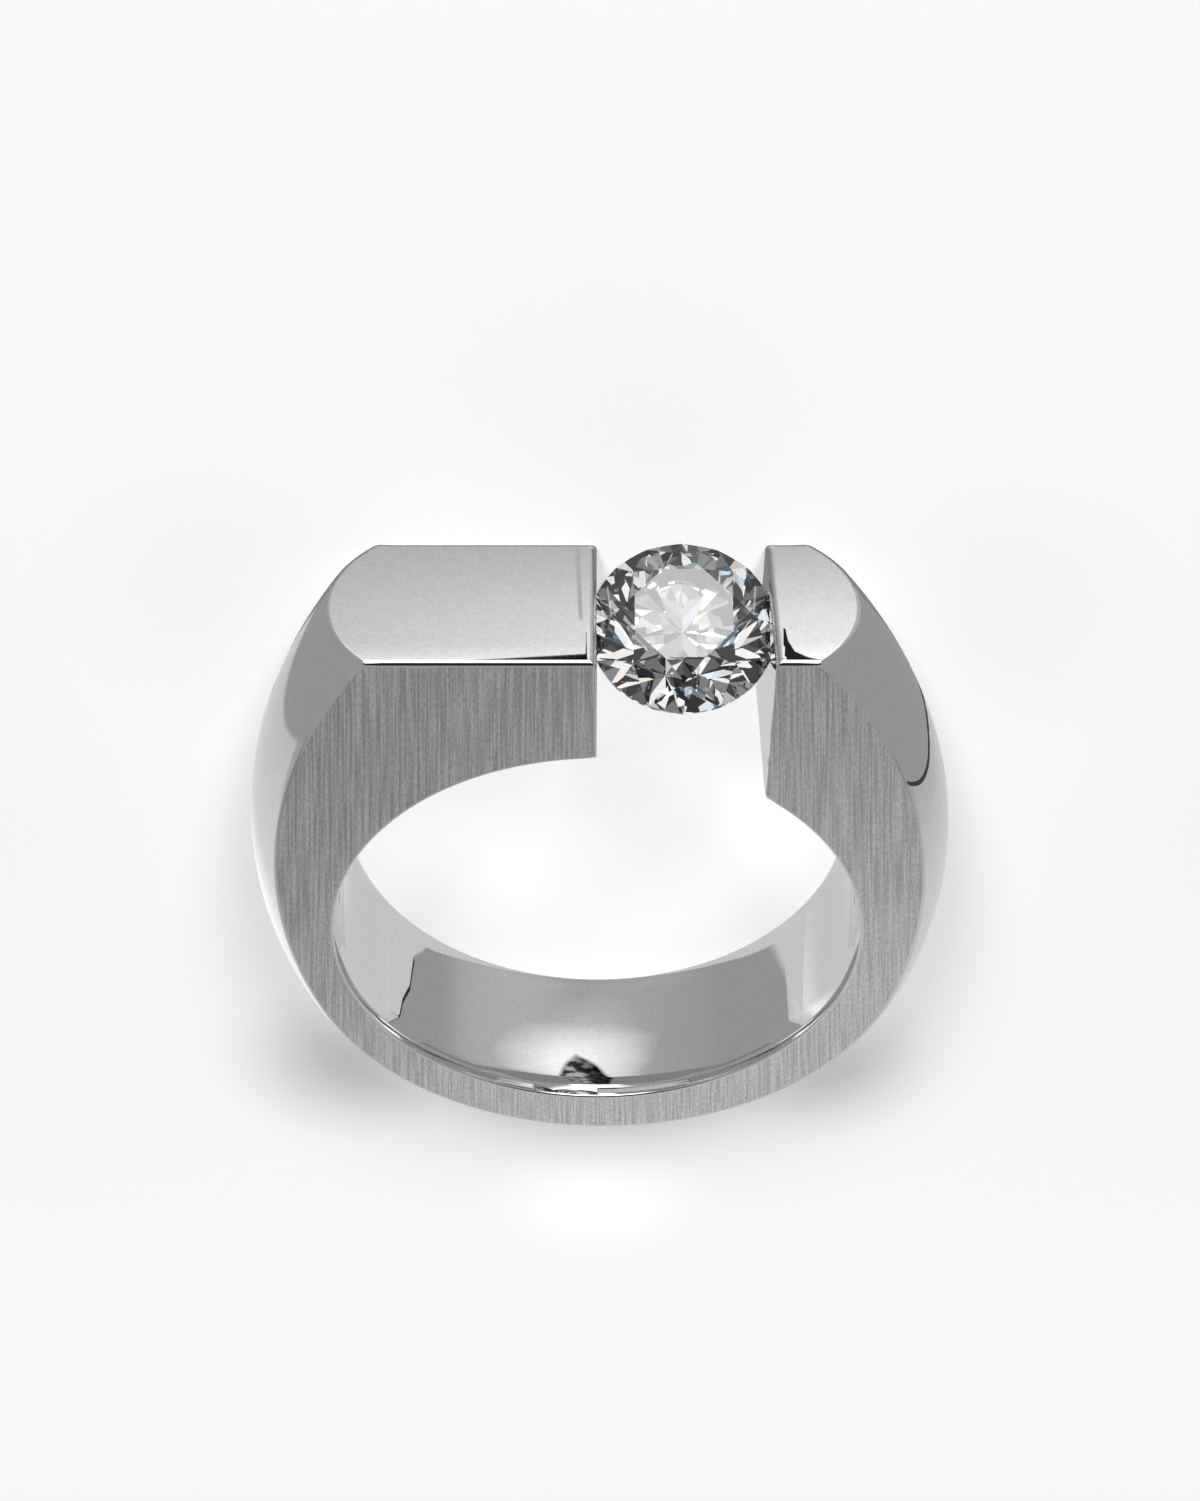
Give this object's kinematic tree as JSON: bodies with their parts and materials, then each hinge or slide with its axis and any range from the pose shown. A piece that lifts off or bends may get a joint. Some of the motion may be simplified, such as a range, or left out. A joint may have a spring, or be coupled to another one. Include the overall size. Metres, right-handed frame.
{
  "type": "tension set ring",
  "caption": "Crowned finger ring, cut open at its flat top, whose two arms grip a round brilliant stone by its girdle.",
  "frame": {"origin": "centre of the finger hole, halfway between the two side faces", "axes": "+Z along the finger hole, up to the front side face; -Y towards the flat top and the stone; the short arm is on the -X side"},
  "size_m": [0.0255, 0.0273, 0.006],
  "materials": {
    "band": "white metal, mirror polished, with both flat side faces brushed in straight fine lines",
    "stone": "clear, colourless, facet polished"
  },
  "bodies": {
    "root": {"band": "band", "stone": "stone"}
  },
  "joints": []
}
